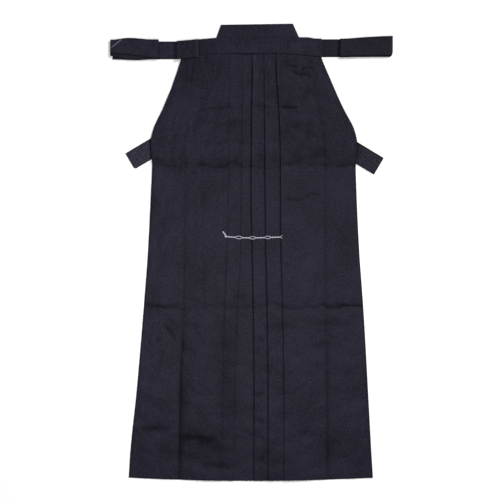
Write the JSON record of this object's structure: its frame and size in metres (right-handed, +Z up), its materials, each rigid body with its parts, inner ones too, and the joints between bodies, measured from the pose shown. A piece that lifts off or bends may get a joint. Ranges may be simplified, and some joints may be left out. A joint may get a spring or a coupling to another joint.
{
  "type": "hakama trousers",
  "caption": "Pleated wide-leg hakama trousers laid flat on their back, stiff back board above the front band, front ties crossed inside, back ties folded into bundles.",
  "frame": {"origin": "middle of the garment's outline, on the surface that it lies on", "axes": "+Y from the hem to the waist, +X to the right as the front is looked at, which is the wearer's left, +Z up off the surface, out of the front"},
  "size_m": [0.627, 1.014, 0.0127],
  "materials": {
    "navy_twill": "matt woven cotton blend, pressed",
    "navy_twill_over_board": "matt woven cotton blend drawn over a stiff board"
  },
  "bodies": {
    "root": {"front_leg_right": "navy_twill", "front_leg_left": "navy_twill", "back_leg_right": "navy_twill", "back_leg_left": "navy_twill", "front_band": "navy_twill", "front_tie_right": "navy_twill", "front_tie_left": "navy_twill", "back_board": "navy_twill_over_board", "back_tie_right": "navy_twill", "back_tie_left": "navy_twill"}
  },
  "joints": []
}
